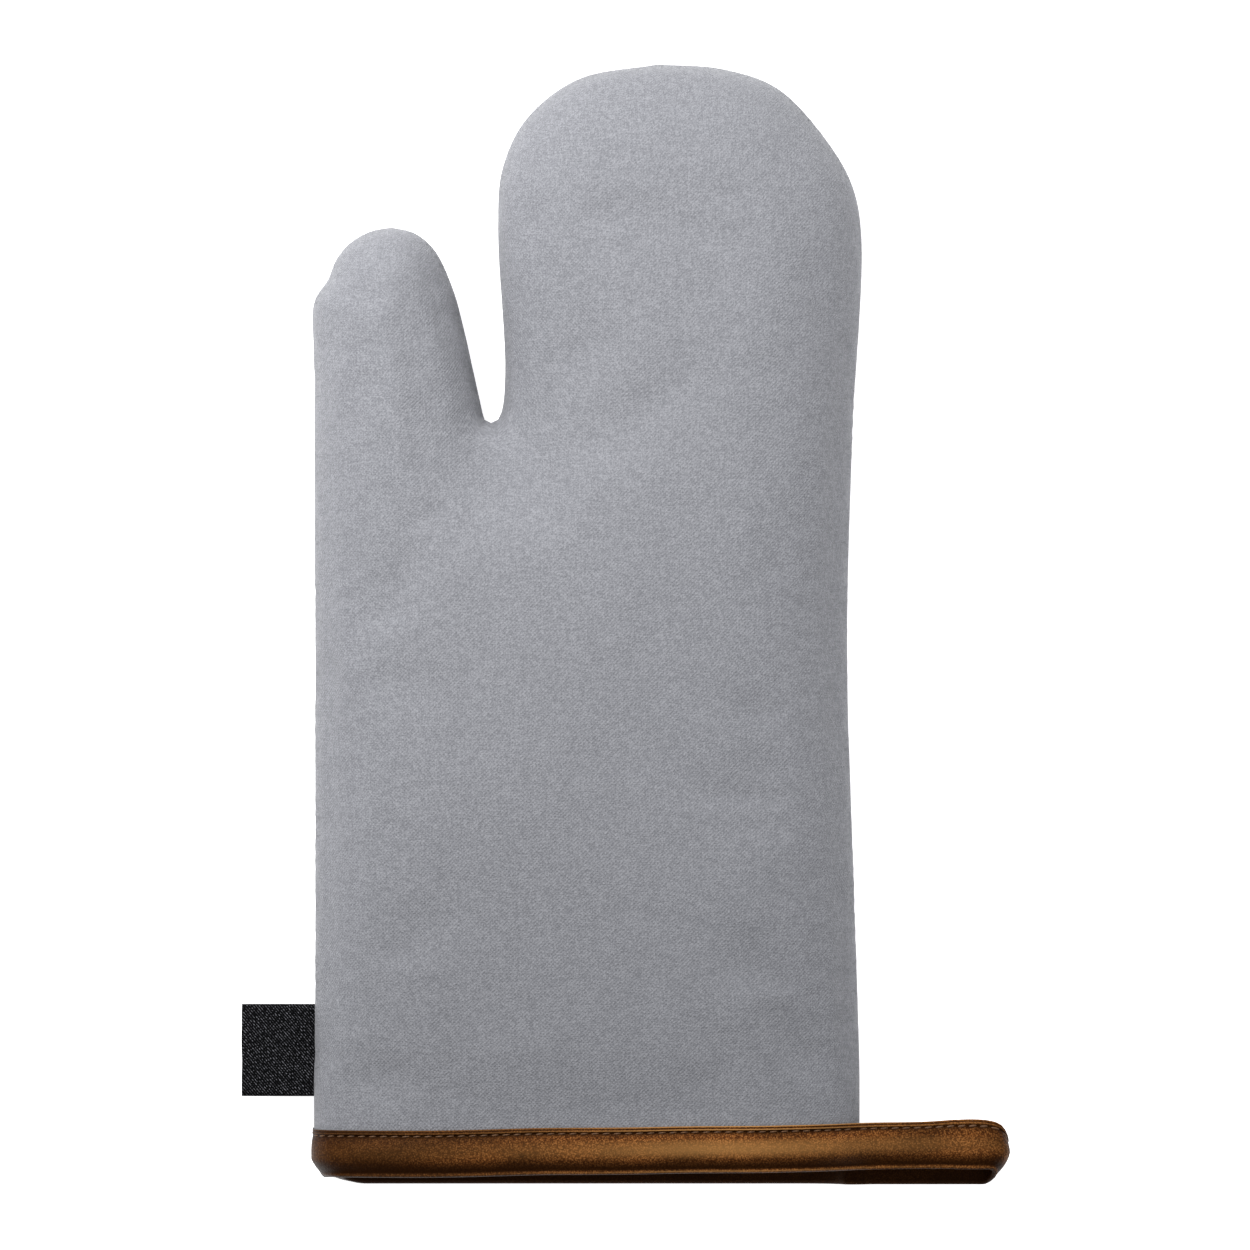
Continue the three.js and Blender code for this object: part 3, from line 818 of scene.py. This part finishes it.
def add_canvas(fields, material):
    """The canvas, front and back, each as a thumb's piece and a piece for the rest of the hand."""
    net = plan(SPACING, (0.2, 0.7, 1.5, 2.6, 3.2, 4.4), CUFF_Y + BINDING_WIDTH / 2)
    points, triangles, _, outwards = net
    thumb_face = on_thumb(points[triangles].mean(1))
    for side_name, side in SIDES.items():
        places, faces, quads, owner, normals, weave = canvas_panel(net, fields, side)
        thumb_quad = on_thumb(points[owner] - 0.5 * outwards[owner])
        for part, mine, mine_quads in (("thumb", thumb_face, thumb_quad), ("hand", ~thumb_face, ~thumb_quad)):
            p, (f, q), n, w = picked(places, [faces[mine], quads[mine_quads]], normals, weave)
            obj = make_object(f"canvas_{side_name}_{part}", p, [*f, *q], material, n, weave=w)
            finish_layer(obj, part, "shell", side_name)


def add_inner_layers(fields, wadding, lining):
    """The wadding and the lining, cut as the canvas is, each with both its faces and its edge."""
    net = plan(COARSE, (0.9, 2.2, 4.4), CUFF_Y + BINDING_WIDTH / 2)
    points, triangles, distance, _ = net
    thumb_face = on_thumb(points[triangles].mean(1))
    n = len(points)
    for layer, material, outer, thick, fill in (
        ("wadding", wadding, SHELL + GAP, WADDING, 0.8),
        ("lining", lining, SHELL + GAP + WADDING + GAP, LINING, 0.3),
    ):
        for side_name, side in SIDES.items():
            both = np.vstack([layer_face(net, fields, side, t) for t in (outer, outer + thick)])
            top = triangles if side > 0 else triangles[:, ::-1]
            whole = set(open_edges(top))
            for part, mine in (("thumb", thumb_face), ("hand", ~thumb_face)):
                rim = [e for e in open_edges(top[mine]) if e in whole]
                walls = np.array([(b, a, a + n, b + n) for a, b in rim])
                p, (f, g, q) = picked(both, [top[mine], top[mine][:, ::-1] + n, walls])
                obj = make_object(f"{layer}_{side_name}_{part}", p, [*f, *g, *q], material)
                finish_layer(obj, part, layer, side_name)


# ---- The binding and the hanging loop: one leather tape round the cuff ----

# Across the tape's outer face, from the lip down to the fold: height above the fold, how far it stands
# out from the canvas, and how much painted shade the leather gets where it turns away from the light, in the
# groove, the crease and the fold, or with a minus how much painted highlight it gets on the lip, the ridge,
# the face's middle and the fold's edge.
OUTER_FACE = (
    ((13.5, 0.05, 0.6), (13.85, 0.5, 0.2), (13.8, 1.0, -0.8), (13.5, 1.15, 0.1))  # the cut lip
    + ((13.25, 1.0, 0.9), (13.05, 1.25, 0.1), (12.85, 1.4, -0.6), (12.6, 1.3, 0.3))  # the ridge below it
    + ((12.35, 1.0, 0.9), (12.1, 0.8, 0.95), (11.75, 1.1, 0.7), (11.3, 1.4, 0.25))  # the stitched groove
    + ((10.4, 1.75, 0.0), (9.2, 2.1, -0.15), (7.8, 2.3, -0.25), (6.4, 2.35, -0.25), (5.1, 2.25, -0.1))
    + ((4.0, 2.0, 0.45), (3.0, 1.65, 0.75), (2.1, 1.25, 0.92), (1.4, 1.05, 0.95))  # down to the crease
    + ((0.95, 1.2, 0.2), (0.65, 1.25, -0.3), (0.3, 1.0, 0.4), (0.0, 0.5, 0.8))  # the fold
)
# Across the inner face, from the fold back up: height, how far it stands in from the lining, and how much
# painted shade it gets, as it lies in shade inside the cuff's mouth.
INNER_FACE = (
    ((0.0, -0.3, 0.9), (0.3, 0.5, 0.85), (1.2, 1.0, 0.93), (4.0, 1.25, 0.9), (8.0, 1.3, 0.7))
    + ((11.2, 1.1, 0.5), (12.1, 0.8, 0.9), (12.8, 1.1, 0.5), (13.4, 0.9, 0.4), (13.5, 0.05, 0.6))
)
FOLD_RISE = 0.7  # the front tape is folded this much short
TAPE_STEP = 1.3  # between the tape's rows of points
HIGHLIGHT_X = 30.0  # where along the cuff the painted highlight on the tape's face is strongest
STITCH_PITCH = 3.1
STITCH_HEIGHT = 12.1
STITCH_HALF = 1.15  # half a stitch's length
STITCH_SLANT = 0.12
STITCH_SIDES = 8
# Along a stitch: place as a share of its half length, radius, and how far it stands out.
STITCH_RINGS = ((-1, 0.08, 0.7), (-0.75, 0.2, 0.85), (0, 0.25, 1.1), (0.75, 0.2, 0.85), (1, 0.08, 0.7))
LOOP_END = corner("hanging_loop", True)[0]
LOOP_STRAND = 3.9  # from the seam's plane to the middle of each strand
LOOP_TURN = LOOP_END - LOOP_STRAND - BINDING / 2
LOOP_ROOT = RIGHT + 3.5
LOOP_FREE = LOOP_ROOT + 5  # beyond here the strands run level


def arch_height(side, distance):
    """How far the canvas at the cuff stands from the seam's plane, at a distance from a side seam."""
    rise = front_height(CUFF_Y + BINDING_WIDTH) if side > 0 else back_height(CUFF_Y)
    edge = min(TURNED_EDGE, MOST_EDGE * rise)
    return edge + (rise - edge) * dome(distance / ROLL[side])


def arch(side, start, end, left):
    """Part of the cuff's edge as seen from its mouth, between two distances from a side seam."""
    roll = ROLL[side]
    angles = np.linspace(math.acos(1 - start / roll), math.acos(1 - end / roll), 24)
    d = roll * (1 - np.cos(angles))
    return np.column_stack([LEFT + d if left else RIGHT - d, SEAM_Z + side * arch_height(side, d)])


def eased(a, b, slope):
    """A curve from a, where it has a slope, to b, where it is level."""
    s = np.linspace(0, 1, 16)
    return np.column_stack([lerp(a[0], b[0], s), hermite(a[1], b[1], slope * (b[0] - a[0]), 0, s)])


def half_tape(side):
    """From the left side seam, over one arch of the cuff and out along one strand of the loop to its turn."""
    leave = 12.0 if side > 0 else 8.0
    left = arch(side, 0, ROLL[side], True)
    right = arch(side, ROLL[side], leave, False)
    slope = (right[-1] - right[-2])[1] / (right[-1] - right[-2])[0]
    level = SEAM_Z + side * LOOP_STRAND
    ramp = eased(right[-1], (LOOP_FREE, level), slope)
    return np.vstack([[(LEFT, SEAM_Z + side * 0.05)], left, right, ramp[1:], [(LOOP_TURN, level)]])


def tape_path():
    """The whole tape's path in the xz plane: the front arch, the loop and the back arch, evenly stepped."""
    turn = np.linspace(0, math.pi, 20)[1:-1]
    bend = np.column_stack([LOOP_TURN + LOOP_STRAND * np.sin(turn), SEAM_Z + LOOP_STRAND * np.cos(turn)])
    return resampled(np.vstack([half_tape(1), bend, half_tape(-1)[::-1]]), TAPE_STEP)


class Tape:
    """The tape's path, with what is needed to place a point on it."""

    def __init__(self):
        self.path = tape_path()
        self.run = run_along(self.path)
        self.out = -rightwards(self.path)
        x = self.path[:, 0]
        half = len(x) // 2
        front_root = self.run[:half][np.abs(x[:half] - LOOP_ROOT).argmin()]
        back_root = self.run[half:][np.abs(x[half:] - LOOP_ROOT).argmin()]
        self.split = [int(np.abs(x[:half] - RIGHT).argmin()), half + int(np.abs(x[half:] - RIGHT).argmin())]
        share = (self.run - front_root) / (back_root - front_root)  # from 0 to 1 along the loop
        tilt = math.tan(CUFF_TILT)
        front = CUFF_STEP + (np.minimum(x, RIGHT) - (LEFT + RIGHT) / 2) * tilt
        back = smoothstep(share, 0.44, 0.54)
        self.fold = CUFF_Y + lerp(front + FOLD_RISE, 0, back) + 0.3 * self.waves(34, 0) * (share < 0.3)
        self.tall = lerp(1 - FOLD_RISE / BINDING_WIDTH, 1, back)
        self.dip = 2.3 * bell(share - 0.5, 0.05)
        self.fold += 2.2 * (1 - smoothstep(x, LEFT, LEFT + 14)) * (share > 0.5)
        loopness = smoothstep(x, RIGHT - 8, LOOP_ROOT)
        self.from_end = np.minimum(self.run, self.run[-1] - self.run)
        thin_end = lerp(0.35, 1, smoothstep(self.from_end, 0, 12))
        self.crown = lerp(1 + 0.22 * self.waves(21, 3.3), 0.62, loopness) * thin_end
        self.inside = self.inner_depth()

    def waves(self, length, seed):
        """Smooth noise along the tape."""
        return np.array([noise.noise((r / length, seed, 0.5)) for r in self.run])

    def inner_depth(self):
        """How far the inner face lies below the path: under the lining, or in the loop under its own fold.

        Where the path leaves the arch for the loop, it stays on the lining to the side seam."""
        x, z = self.path.T
        stack = depth(STACK, np.array([CUFF_Y + BINDING_WIDTH / 2]))[0]
        level = np.abs(z - SEAM_Z)
        distance = np.clip(RIGHT - x, 0, None)
        arches = np.where(z > SEAM_Z, arch_height(1, distance), arch_height(-1, distance))
        leaving = x > RIGHT - 16
        under = np.where(leaving, stack + np.clip(level - arches, 0, None), stack)
        under = np.where(leaving, np.minimum(under, level - 1.2), under)
        return lerp(under, 0.4, smoothstep(x, RIGHT, LOOP_ROOT + 3))

    def darkness(self):
        """How much darker the leather is made, towards the left seam and at the loop's turn."""
        at_turn = smoothstep(self.path[:, 0], LOOP_TURN - 8, LOOP_TURN + 4)
        return 0.75 * (1 - smoothstep(self.from_end, 5, 100)) + 0.5 * at_turn

    def painted_highlight(self):
        """How strong the painted highlight on the leather's face is along the tape, most a little right of
        the cuff's middle.
        """
        # Painted highlight: a broad bell along the run, on top of a steady share.
        return 0.5 + 1.5 * bell(self.path[:, 0] - HIGHLIGHT_X, 34)

    def at(self, run, up, out, inner=False):
        """A point at a run along the tape, up from the fold, standing out from either face."""
        x, z, nx, nz, fold, crown, inside, tall, dip = (
            np.interp(run, self.run, v)
            for v in (*self.path.T, *self.out.T, self.fold, self.crown, self.inside, self.tall, self.dip)
        )
        away = -(inside + out * np.minimum(crown, 1)) if inner else out * crown
        crest = 0.9 * bell(x - LOOP_TURN + 6, 9) * smoothstep(up, 10, 13)
        y = fold + up * (tall - dip / BINDING_WIDTH) + crest
        low = np.clip(1 - (y - CUFF_Y) / 9.6, 0, 1) ** 1.3
        bulge = 5.2 * low * smoothstep(x, LOOP_TURN - 14, LOOP_TURN + 1)
        bulge = bulge - 3.0 * np.clip(1 - up / 5.0, 0, 1) ** 1.3 * smoothstep(-x, -LEFT - 9, -LEFT)
        return np.stack([x + nx * away - bulge, y, z + nz * away], axis=-1)


def tape_grid(tape):
    """The tape's points, a row for each step along it, with their places on the leather and its painted shade
    and highlight.
    """
    rows, dark = [], []
    for face, inner in ((OUTER_FACE, False), (INNER_FACE, True)):
        for up, out, shade in face:
            rows.append(tape.at(tape.run, up, out, inner))
            dark.append(shade)
    grid = np.stack(rows, axis=1)
    spread = np.zeros((*grid.shape[:2], 3))
    spread[..., 0] = tape.run[:, None]
    spread[..., 1] = run_along(grid[len(grid) // 8])
    painted_light = np.zeros_like(spread)
    along = tape.darkness()[:, None]
    # Painted shade from the faces' lists, darker still towards the left seam and at the loop's turn.
    painted_light[..., 0] = lerp(np.clip(dark, 0, 1), 1, along)
    # Painted highlight where the lists have a minus, strongest a little right of the cuff's middle.
    painted_light[..., 1] = np.clip(-np.array(dark), 0, 1) * (1 - along) * tape.painted_highlight()[:, None]
    return grid, spread, painted_light


def quad_faces(rings, columns):
    """Quads round a tube whose points are counted ring by ring."""
    i, j = np.meshgrid(np.arange(rings - 1) * columns, np.arange(columns), indexing="ij")
    i, j = i.ravel(), j.ravel()
    k = (j + 1) % columns
    return np.column_stack([i + j, i + k, i + columns + k, i + columns + j])


def tube_faces(rows, columns, first_cap=True, last_cap=True):
    """The faces of a tube whose rings are a grid's rows, with a cap on each chosen end."""
    faces = quad_faces(rows, columns).tolist()
    if first_cap:
        faces.append(list(range(columns))[::-1])
    if last_cap:
        faces.append([(rows - 1) * columns + k for k in range(columns)])
    return faces


def add_tape(tape, leather):
    """The front binding, the loop and the back binding, cut from one tape so that they run on."""
    grid, spread, painted_light = tape_grid(tape)
    rows, columns = grid.shape[:2]
    flat = grid.reshape(-1, 3)
    quads = quad_faces(rows, columns)
    split = np.vstack([quads[:, [0, 1, 2]], quads[:, [0, 2, 3]]])
    normals = vertex_normals(flat, split).reshape(grid.shape)
    first, second = tape.split
    ends = (("binding_front", 0, first), ("loop", first, second), ("binding_back", second, rows - 1))
    for name, low, high in ends:
        faces = tube_faces(high + 1 - low, columns, low == 0, high == rows - 1)
        p, n, s, w = (v[low : high + 1].reshape(-1, 3) for v in (grid, normals, spread, painted_light))
        obj = make_object(name, p, faces, leather, n, tape=s, fold=w)
        if name == "loop":
            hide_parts("hanging_loop")
            bend_loop(obj)
        else:
            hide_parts(f"cuff_{name}")
            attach(obj, "mitt")


def bend_loop(obj):
    """Bakes a piece of the loop's transform into its mesh."""
    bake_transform(obj)


def stitch(tape, run):
    """One stitch as a small rounded tube lying along the groove: its points, ring by ring."""
    rings = []
    for share, radius, out in STITCH_RINGS:
        for angle in np.arange(0, 2 * math.pi, 2 * math.pi / STITCH_SIDES):
            up = STITCH_HEIGHT + radius * math.cos(angle) + STITCH_SLANT * share
            rings.append(tape.at(run + share * STITCH_HALF, up, out + radius * math.sin(angle)))
    return np.array(rings)


def add_stitches(tape, thread):
    """The rows of stitches in the groove under the lip, on the mitt's two bindings and on the loop."""
    loop_runs = tape.run[tape.split]
    ends = ((tape.run[0] + 3, loop_runs[0]), tuple(loop_runs), (loop_runs[1], tape.run[-1] - 3))
    for name, (low, high) in zip(("stitches_front", "stitches_loop", "stitches_back"), ends):
        runs = np.arange(low + STITCH_PITCH / 2, high - STITCH_PITCH / 3, STITCH_PITCH)
        places = np.vstack([stitch(tape, run) for run in runs])
        one = quad_faces(len(STITCH_RINGS), STITCH_SIDES)[:, ::-1]
        faces = [f + len(STITCH_RINGS) * STITCH_SIDES * k for k in range(len(runs)) for f in one]
        obj = make_object(name, places, faces, thread)
        if name == "stitches_loop":
            bend_loop(obj)
        else:
            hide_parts(f"binding_stitching_{name.split('_')[1]}")
            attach(obj, "mitt")


# ---- The label ----

LABEL_OUT = corner("label_tab", False)[0]
LABEL_LOW = corner("label_tab", False)[1]
LABEL_HIGH = corner("label_tab", True)[1]
LABEL_TAPE = 0.5
LABEL_HALF_GAP = 0.38
LABEL_IN_SEAM = 2.2  # of each end
LABEL_STEPS = 22  # along each half
LABEL_LINES = 14  # across the width


def add_label(material):
    """A piece of tape folded in half, its two ends caught in the side seam."""
    turn = LABEL_OUT + LABEL_HALF_GAP + LABEL_TAPE / 2
    x = np.linspace(LEFT + LABEL_IN_SEAM, turn, LABEL_STEPS)
    upper = np.column_stack([x, np.full(LABEL_STEPS, LABEL_HALF_GAP)])
    upper[:4, 1] *= 0.8
    bend = np.linspace(0, math.pi, 9)[1:-1]
    around = np.column_stack([turn - LABEL_HALF_GAP * np.sin(bend), LABEL_HALF_GAP * np.cos(bend)])
    path = np.vstack([upper, around, upper[::-1] * (1, -1)])
    width = np.linspace(LABEL_LOW, LABEL_HIGH, LABEL_LINES)
    edge = np.array([0.3 * noise.noise((y / 7, 0.3, 2.2)) for y in width])
    lift = np.array([0.5 * noise.noise((y / 16, 4.1, 0.7)) for y in width])
    faces_of = []
    for share in (0.5, -0.5):
        x, z = (path + share * LABEL_TAPE * rightwards(path)).T[..., None]
        free = np.clip((LEFT - x) / (LEFT - LABEL_OUT), 0, 1)
        grid = np.broadcast_arrays(x + edge * free**3, width, SEAM_Z + z + lift * free**2)
        faces_of.append(np.stack(grid, axis=-1))
    rows, columns = len(path), 2 * len(width)
    ring = np.concatenate([faces_of[0], faces_of[1][:, ::-1]], axis=1)
    spread = np.zeros_like(ring)
    spread[..., 0] = run_along(path)[:, None]
    spread[..., 1] = np.concatenate([width, width[::-1]])
    faces = tube_faces(rows, columns)
    obj = make_object("label", ring.reshape(-1, 3), faces, material, tape=spread.reshape(-1, 3))
    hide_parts("label_tab")
    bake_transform(obj)


# ---- The stage: floor, light and camera ----

PICTURE_WIDTH = 350.0
CAMERA_DISTANCE = 3000.0
FLOOR_HALF = 1500.0


def add_floor():
    """A white light table, which leaves no hard shadow round the mitt."""
    square = [(FLOOR_HALF * x, FLOOR_HALF * y, -0.1) for x, y in ((-1, -1), (1, -1), (1, 1), (-1, 1))]
    n = Nodes("floor")
    paint = n.noise(n.place(), 60, 2)
    white = n.ramp(paint, (0.3, 0.93), (0.7, 0.95))
    glow = {"Emission Color": (1, 1, 1, 1), "Emission Strength": 0.8}
    floor = make_object("floor", square, [(0, 1, 2, 3)], n.finish(white, n.bump(paint, 0.05), 0.9, **glow))


def add_light(name, place, size, power):
    """A square soft light aimed at the mitt."""
    lamp = bpy.data.lights.new(name, "AREA")
    lamp.energy = power
    lamp.size = size * MM
    obj = bpy.data.objects.new(name, lamp)
    obj.location = Vector(place) * MM
    obj.rotation_euler = obj.location.to_track_quat("Z", "Y").to_euler()
    bpy.context.scene.collection.objects.link(obj)


def add_stage():
    """The white surroundings, the floor, two soft lights and the camera straight above."""
    scene = bpy.context.scene
    scene.view_settings.view_transform = "Standard"
    world = bpy.data.worlds.new("studio")
    world.use_nodes = True
    world.node_tree.nodes["Background"].inputs["Strength"].default_value = 0.48
    world.node_tree.nodes["Background"].inputs["Color"].default_value = (1, 1, 1, 1)
    scene.world = world
    add_floor()
    add_light("key", (-245, 310, 480), 300, 4.8)
    add_light("fill", (400, 260, 300), 300, 0.7)

    lens = bpy.data.cameras.new("camera")
    lens.sensor_width = 36
    lens.lens = lens.sensor_width * (CAMERA_DISTANCE - SEAM_Z) / PICTURE_WIDTH
    lens.clip_end = 20
    camera = bpy.data.objects.new("camera", lens)
    camera.location = (0, 0, CAMERA_DISTANCE * MM)
    scene.collection.objects.link(camera)
    scene.camera = camera


# ---- The whole scene ----

fields = swollen(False)
add_canvas(fields, canvas_material())
add_inner_layers(fields, wadding_material(), lining_material())
leather = leather_material()
tape = Tape()
add_tape(tape, leather)
add_stitches(tape, thread_material())
add_label(label_material())
add_stage()
